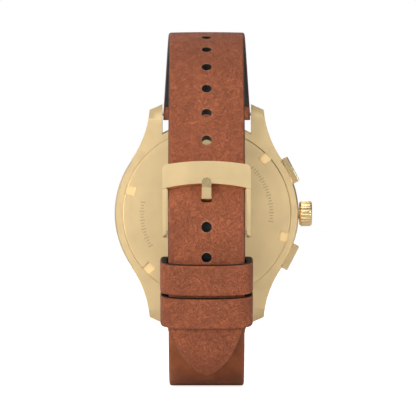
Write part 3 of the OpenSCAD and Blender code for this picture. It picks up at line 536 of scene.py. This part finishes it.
def strap_masks(obj, hole_list=()):
    """Stores strap coordinates on every point, with the masks of painted edges and punched holes. The edge
    mask also carries painted shade down the hole walls and round the tongue.
    """
    mesh = obj.data
    co = np.empty(len(mesh.vertices) * 3)
    mesh.vertices.foreach_get("co", co)
    co = co.reshape(-1, 3) / MM
    grid = np.arange(-2, total_s + 2.01, 0.1)
    middle = np.array([at(s, MASK_LEVEL) for s in grid])
    ahead = np.array([along(s) for s in grid])
    out = np.array([outward(s) for s in grid])
    nearest = np.empty(len(co), int)
    for i in range(0, len(co), 4000):
        gap = co[i : i + 4000, None, 1:] - middle[None]
        nearest[i : i + 4000] = (gap**2).sum(2).argmin(1)
    off = co[:, 1:] - middle[nearest]
    s = grid[nearest] + (off * ahead[nearest]).sum(1)
    n = MASK_LEVEL + (off * out[nearest]).sum(1)
    place = mesh.attributes.new("strap", "FLOAT_VECTOR", "POINT")
    place.data.foreach_set("vector", np.stack([co[:, 0], s, n], 1).astype(np.float32).ravel())
    half = np.array([(long_width(v) if hole_list else strap_width(v)) / 2 for v in s])
    edge = 0.8 * np.clip((np.abs(co[:, 0]) - half + 0.25) / 0.2, 0, 1)
    far = np.full(len(co), 9.0)
    for h in hole_list:
        far = np.minimum(far, np.hypot(co[:, 0], s - h) - HOLE_D / 2)
    if hole_list:
        depth = np.array([long_top(v) for v in s]) - n
        # painted shade down the hole walls, below the raw rim
        edge = np.where(far < 0.05, np.clip((depth - 0.12) / 0.1, 0, 1), edge)
        # painted shade on the walls of the cut round the tongue
        in_slot = (s > BAR_S - SLOT_FAR) & (s < BAR_S - SLOT_NEAR)
        in_slot &= np.abs(co[:, 0]) < TONGUE_W / 2 + SLOT_SIDE
        edge = np.where(in_slot & (depth > 0.15), 1.0, edge)
    for name, values in (("edge", edge), ("hole", np.clip(far / 2, 0, 1))):
        mesh.attributes.new(name, "FLOAT", "POINT").data.foreach_set("value", values.astype(np.float32))


def strip(name, material, rows, corner, crown=0.0):
    """A strap layer from rows of (s, low, high, width), with round upper corners and a slight crown."""
    columns, arc = 34, 5
    skin = []
    for s, low, high, width in rows:
        r = max(0.01, min(corner, (high - low) * 0.7, width * 0.3))
        half = width / 2
        ring = [(-half + 0.1 + (width - 0.2) * k / columns, low) for k in range(columns + 1)]
        for k in range(arc + 1):
            a = math.pi / 2 * k / arc
            ring.append((half - r + r * math.cos(a), high - r + r * math.sin(a)))
        for k in range(1, columns):
            x = (half - r) * (1 - 2 * k / columns)
            ring.append((x, high))
        for k in range(arc + 1):
            a = math.pi / 2 * (1 + k / arc)
            ring.append((-half + r + r * math.cos(a), high - r + r * math.sin(a)))
        points = []
        for x, n in ring:
            bow = crown * (1 - (x / half) ** 2) * clamp((n - low) / max(high - low, 0.01))
            y, z = at(s, n + bow - crown)
            points.append((x, y, z))
        skin.append(points)
    return new_object(name, *tube(skin), material)


def nose(radius, count=7):
    """Distances past a bar and half heights there, for leather folded round it."""
    return [(radius * math.sin(a), radius * math.cos(a)) for a in
            (math.pi / 2 * (count - k) / count * 0.985 for k in range(count))]


def frange(start, stop, step):
    count = max(1, round((stop - start) / step))
    return [start + (stop - start) * i / count for i in range(count + 1)]


def punches(places):
    out = []
    for s in places:
        axis, middle = outward(s), at(s, long_base(s) + LONG_T / 2)
        ahead = along(s)
        rows = []
        # two loops near the top, below which the hole wall carries painted shade
        for h in (-3, 0.72, 0.84, 3):
            row = []
            for k in range(40):
                a = math.tau * k / 40
                q = middle + axis * h + ahead * math.sin(a) * HOLE_D / 2
                row.append((math.cos(a) * HOLE_D / 2, q[0], q[1]))
            rows.append(row)
        out.append(rows)
    verts, faces = [], []
    for rows in out:
        v, f = tube(rows)
        faces += [tuple(i + len(verts) for i in face) for face in f]
        verts += v
    return new_object("punches", verts, faces, finish["leather"])


def tongue_cutter(turn, spare, wide):
    """Room that the tongue needs in the leather with the buckle swung by turn degrees."""
    line = [at(BAR_S - reach, SHORT_T / 2 + rise) for reach, rise in (*TONGUE_LINE, (9.6, 4.4))]
    a = math.radians(turn)
    spin = np.array([[math.cos(a), -math.sin(a)], [math.sin(a), math.cos(a)]])
    line = [spin @ (p - bar_at) + bar_at for p in line]
    rows = []
    for i, p in enumerate(line):
        run = line[min(i + 1, len(line) - 1)] - line[max(i - 1, 0)]
        side = np.array([-run[1], run[0]]) / np.linalg.norm(run)
        ring = oval_loop(TONGUE_W / 2 + wide, -TONGUE_T / 2 - spare, TONGUE_T / 2 + spare, 3.2, 28)
        rows.append([(x, *(p + side * k)) for x, k in ring])
    return new_object("tongue_room", *tube(rows), finish["leather"])


# --- Strap -----------------------------------------------------------------------------------


def build_strap():
    row_step = 0.5
    rooms = [tongue_cutter(turn, 0.14, 0.16) for turn in (0, TONGUE_SWING / 2, TONGUE_SWING)]
    cutters = [punches(hole_s)] + rooms
    open_places = [s for s in hole_s if s < BAR_S - 3]

    rows = [(-d, LUG_PAD / 2 - h, LUG_PAD / 2 + h, LUG_W) for d, h in nose(LUG_PAD / 2)]
    for s in frange(0, LONG_END - TIP, row_step) + frange(LONG_END - TIP + 0.4, LONG_END - 0.8, 0.4) + \
            frange(LONG_END - 0.6, LONG_END, 0.12):
        low = long_base(s) + LINING_T * ease((s - 0.6) / 1.2)
        rows.append((s, low, long_top(s), long_width(s)))
    long_leather = cut(strip("strap_long_leather", finish["leather"], rows, 0.5, 0.12), cutters)
    strap_masks(long_leather, hole_s)

    rows = [(s, long_base(s), long_base(s) + LINING_T, long_width(s) - 0.3) for s in
            frange(1.9, LONG_END - 1.2, row_step)]
    # the lining is left unpunched under the holes over the bar: its black sheet is painted shade at the
    # bottom of those holes
    open_holes = punches(open_places)
    long_lining = cut(strip("strap_long_lining", finish["lining"], rows, 0.1), [open_holes] + rooms)
    strap_masks(long_lining, hole_s)

    ends = nose(SHORT_T / 2)
    rows = [(BAR_S - d, SHORT_T / 2 - h, SHORT_T / 2 + h, STRAP_W) for d, h in ends]
    for s in frange(BAR_S, total_s, row_step):
        inside = ease(min(s - BAR_S - 0.6, total_s - s - 0.6) / 1.2)
        rows.append((s, LINING_T * inside, SHORT_T, strap_width(s)))
    rows += [(total_s + d, SHORT_T / 2 - h, SHORT_T / 2 + h, LUG_W) for d, h in reversed(ends)]
    slot_rows = [[(x, *(bar_at + along(BAR_S) * reach + outward(BAR_S) * n)) for x, n in
                  ((-1.4, -2.2), (1.4, -2.2), (1.4, 2.2), (-1.4, 2.2))] for reach in (-3, 3)]
    slot = new_object("slot", *tube(slot_rows), finish["leather"])
    short_leather = cut(strip("strap_short_leather", finish["leather_smooth"], rows, 0.5, 0.0), [slot])
    strap_masks(short_leather)

    rows = [(s, 0, LINING_T, strap_width(s) - 0.3) for s in frange(BAR_S + 3.2, total_s - 1.9, row_step)]
    short_lining = strip("strap_short_lining", finish["lining"], rows, 0.1)
    strap_masks(short_lining)

    drop(cutters + [open_holes, slot])
    for obj, node in ((long_leather, "strap_long"), (long_lining, "lining_long"),
                      (short_leather, "strap_short"), (short_lining, "lining_short")):
        smooth_by_angle(obj, 40)
        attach(obj, "case")
        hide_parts(node)


def oval_loop(half_w, low, high, power, count=132):
    """Points round a rounded rectangle with slightly domed sides, in (x, n), evenly spaced."""
    middle, half_h = (low + high) / 2, (high - low) / 2
    fine = []
    for k in range(720):
        c, s = math.cos(math.tau * k / 720), math.sin(math.tau * k / 720)
        fine.append((half_w * math.copysign(abs(c) ** (2 / power), c),
                     middle + half_h * math.copysign(abs(s) ** (2 / power), s)))
    p = np.array(fine + [fine[0]])
    run = np.concatenate([[0], np.cumsum(np.linalg.norm(np.diff(p, axis=0), axis=1))])
    want = np.linspace(0, run[-1], count, endpoint=False)
    return [(np.interp(w, run, p[:, 0]), np.interp(w, run, p[:, 1])) for w in want]


def build_keeper(node, s0):
    """A band of leather round the strap, leaning a little, with round grey edges and a black inside."""
    half_in, stack = (STRAP_W + 0.6) / 2, SHORT_T + SHORT_GAP + LONG_T + 0.3
    lean = math.tan(math.radians(KEEPER_LEAN))
    base, ahead, out = at(s0, -0.2), along(s0), outward(s0)
    corner = 0.4
    quarter = [math.radians(15 * k) for k in range(7)]
    profile = [(KEEPER_T - corner * (1 - math.sin(a)), corner * (1 - math.cos(a))) for a in quarter]
    profile += [(KEEPER_T, corner + (KEEPER_L - 2 * corner) * k / 14) for k in range(1, 14)]
    profile += [(d, KEEPER_L - v) for d, v in reversed(profile[:7])]
    outer = len(profile)
    profile += [(0.05, KEEPER_L), (0.0, KEEPER_L - 0.05), (0.0, KEEPER_L * 0.5), (0.0, 0.05), (0.05, 0.0)]
    count, across = len(profile), 132
    verts = []
    for depth, v in profile:
        swell = depth / KEEPER_T
        for x, n in oval_loop(half_in + depth, -depth, stack + depth, 14 - 9 * swell, across):
            rise = KEEPER_BOW * (abs(x) / (half_in + KEEPER_T)) ** 3
            y, z = base + ahead * (v + (stack + KEEPER_T - n) * lean - rise) + out * n
            verts.append((x, y, z))
    faces = [(across * i + k, across * i + (k + 1) % across, across * ((i + 1) % count) + (k + 1) % across,
              across * ((i + 1) % count) + k) for i in range(count) for k in range(across)]
    obj = new_object(node + "_leather", verts, faces, finish["leather"])
    obj.data.materials.append(finish["lining"])
    for index, polygon in enumerate(obj.data.polygons):
        polygon.material_index = int(outer - 1 <= index // across)
    strap_masks(obj)
    edge = []
    for i in range(count):
        edge += [0.85 if i <= 1 or i >= outer - 2 else 0.3 if i == 2 or i == outer - 3 else 0.0] * across
    obj.data.attributes["edge"].data.foreach_set("value", edge)
    smooth_by_angle(obj, 50)
    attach(obj, nodes[node]["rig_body"])
    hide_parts(node)


# --- Case back marks and dial printing -------------------------------------------------------


def flat_marks(name, marks, y, lift, material):
    """Small raised bars on a plane of constant Y: each mark is (x, z, turn, length, width)."""
    verts, faces = [], []
    for x, z, turn, length, width in marks:
        c, s = math.cos(turn), math.sin(turn)
        first = len(verts)
        for level in (0.0, lift):
            for a, b in ((-1, -1), (1, -1), (1, 1), (-1, 1)):
                u, v = a * length / 2, b * width / 2
                verts.append((x + u * c - v * s, y + level, z + u * s + v * c))
        faces += [tuple(first + k for k in q) for q in
                  ((0, 1, 2, 3), (7, 6, 5, 4), (0, 4, 5, 1), (1, 5, 6, 2), (2, 6, 7, 3), (3, 7, 4, 0))]
    obj = new_object(name, verts, faces, material, smooth=False)
    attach(obj, "case")
    return obj


def ring_marks(r, angles, length, width, centre=(0, 0)):
    return [(centre[0] + r * math.cos(a), centre[1] + r * math.sin(a), a, length, width) for a in angles]


def build_marks():
    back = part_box("case_back")[0].y / MM
    # painted shade: the engraving is a darker copy of the gold, standing in for shade in its grooves
    engraving_painted_shade = bright_metal("engraving_painted_shade", shade(GOLD, 0.72), 0.42)
    arcs = [math.radians(a) for start, stop in ((-7, 45), (170, 210)) for a in frange(start, stop, 2.6)]
    marks = []
    for i, a in enumerate(arcs):
        marks += ring_marks(14.7, [a], 0.75 if i % 3 else 1.15, 0.3)
    flat_marks("case_back_marks", marks, back + 0.02, -0.035, engraving_painted_shade)

    dial_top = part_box("dial")[1].y / MM
    ink = moulded("dial_ink", (0.05, 0.05, 0.055), 0.4)
    minute = math.tau / 60
    marks = ring_marks(16.0, [i * minute for i in range(60)], 0.7, 0.14)
    marks += ring_marks(16.1, [i * minute / 5 for i in range(300) if i % 5], 0.35, 0.07)
    flat_marks("minute_track", marks, dial_top, 0.02, ink)
    reach = 7.6
    marks = []
    for centre, parts in (((0, reach), 12), ((-reach, 0), 12), ((reach, 0), 24)):
        marks += ring_marks(3.85, [i * math.tau / parts for i in range(parts)], 0.6, 0.12, centre)
        marks += ring_marks(4.0, [i * minute for i in range(60)], 0.25, 0.06, centre)
    flat_marks("small_dial_tracks", marks, dial_top - 0.12, 0.02, ink)


# --- Whole object ----------------------------------------------------------------------------

for name, node in nodes.items():
    node.data.materials.clear()
    node.data.materials.append(finish[slot_of[name]])
    smooth_by_angle(node, 30)

softened("mid_case", 0.16)
softened("bezel", 0.1)
# painted highlight: the floors of the key notches get a lighter, rougher copy of the gold, so they read
# brighter than the turned face
back = softened("case_back", 0.09, case_back_gold)
back.data.materials.append(bright_metal("notch_floor_painted_highlight", shade(GOLD, 1.1), 0.55))
notch_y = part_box("case_back")[0].y + NOTCH_DEPTH * MM
for polygon in back.data.polygons:
    if abs(polygon.center.y - notch_y) < 0.02 * MM and abs(polygon.normal.y) > 0.99:
        polygon.material_index = 1
softened("crown", 0.08)
softened("start_pusher", 0.12)
softened("reset_pusher", 0.12)
softened("buckle_frame", 0.26)
softened("buckle_tongue", 0.36)
for hand in ("hour_hand", "minute_hand", "chrono_hand", "seconds_hand", "counter_hand", "day_hand"):
    softened(hand, 0.03)
softened("dial_markers", 0.06)
build_strap()
build_keeper("fixed_keeper", KEEPER_S)
build_keeper("floating_keeper", KEEPER_S + KEEPER_L + KEEPER_GAP)
build_marks()

# --- Floor, light and camera -----------------------------------------------------------------


def area_light(name, place, size, power):
    data = bpy.data.lights.new(name, "AREA")
    data.shape, data.size, data.energy = "DISK", size, power
    obj = bpy.data.objects.new(name, data)
    bpy.context.scene.collection.objects.link(obj)
    obj.location = place
    obj.rotation_mode = "QUATERNION"
    obj.rotation_quaternion = (Vector((0, -0.02, 0)) - Vector(place)).to_track_quat("-Z", "Y")


def studio():
    """A white page for the camera. Reflections see a room that is bright at -X and dim at +X."""
    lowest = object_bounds()[0].z / MM
    paper = Maker("pale_floor", Specular_IOR_Level=0.2, Emission_Color=(1, 1, 1, 1))
    grain = paper.noise(paper.place(), 0.02, 2)
    paper.to("Base Color", paper.mix((0.93, 0.93, 0.93), (0.97, 0.97, 0.97), grain))
    paper.to("Roughness", paper.ramp(grain, (0.3, 0.8), (0.7, 0.95)))
    seen = paper.add("LightPath").outputs["Is Camera Ray"]
    paper.to("Emission Strength", paper.math("MULTIPLY", seen, 0.8))
    reach = 4000
    verts = [(reach * math.cos(math.tau * k / 64), reach * math.sin(math.tau * k / 64), lowest - 0.05)
             for k in range(64)]
    floor = new_object("floor", verts, [tuple(range(64))], paper.material)
    floor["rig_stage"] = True

    world = bpy.data.worlds.new("studio")
    bpy.context.scene.world = world
    world.use_nodes = True
    tree = world.node_tree
    links, new = tree.links, tree.nodes.new
    background = tree.nodes["Background"]
    direction = new("ShaderNodeTexCoord").outputs["Generated"]
    split = new("ShaderNodeSeparateXYZ")
    links.new(direction, split.inputs[0])
    ramp = new("ShaderNodeValToRGB")
    shift = new("ShaderNodeMath")
    shift.operation, shift.inputs[1].default_value = "MULTIPLY_ADD", -0.5
    shift.inputs[2].default_value = 0.5
    links.new(split.outputs["X"], shift.inputs[0])
    links.new(shift.outputs[0], ramp.inputs[0])
    for end, (place, level) in zip(ramp.color_ramp.elements, ((0.25, 0.14), (0.8, 0.74))):
        end.position, end.color = place, (level, level, level, 1)
    seen = new("ShaderNodeLightPath").outputs["Is Camera Ray"]
    mix = new("ShaderNodeMix")
    mix.data_type = "RGBA"
    links.new(seen, mix.inputs[0])
    links.new(ramp.outputs[0], mix.inputs[6])
    mix.inputs[7].default_value = (1, 1, 1, 1)
    links.new(mix.outputs[2], background.inputs[0])
    background.inputs[1].default_value = 1.0


def camera():
    data = bpy.data.cameras.new("camera")
    data.lens, data.sensor_width = 266.5, 36
    data.clip_start, data.clip_end = 0.01, 20
    obj = bpy.data.objects.new("camera", data)
    bpy.context.scene.collection.objects.link(obj)
    obj.location = (0.0003, -0.7, 0.00125)
    obj.rotation_euler = (math.pi / 2, 0, 0)
    bpy.context.scene.camera = obj


studio()
area_light("key", (-0.62, -0.72, 0.12), 0.35, 4.6)
area_light("fill", (0.65, -0.65, 0.12), 0.4, 2.2)
area_light("top", (0.0, -0.3, 0.9), 0.5, 1.9)
area_light("front", (-0.1, -1.1, 0.3), 0.35, 0.5)
camera()
bpy.context.scene.view_settings.view_transform = "Standard"
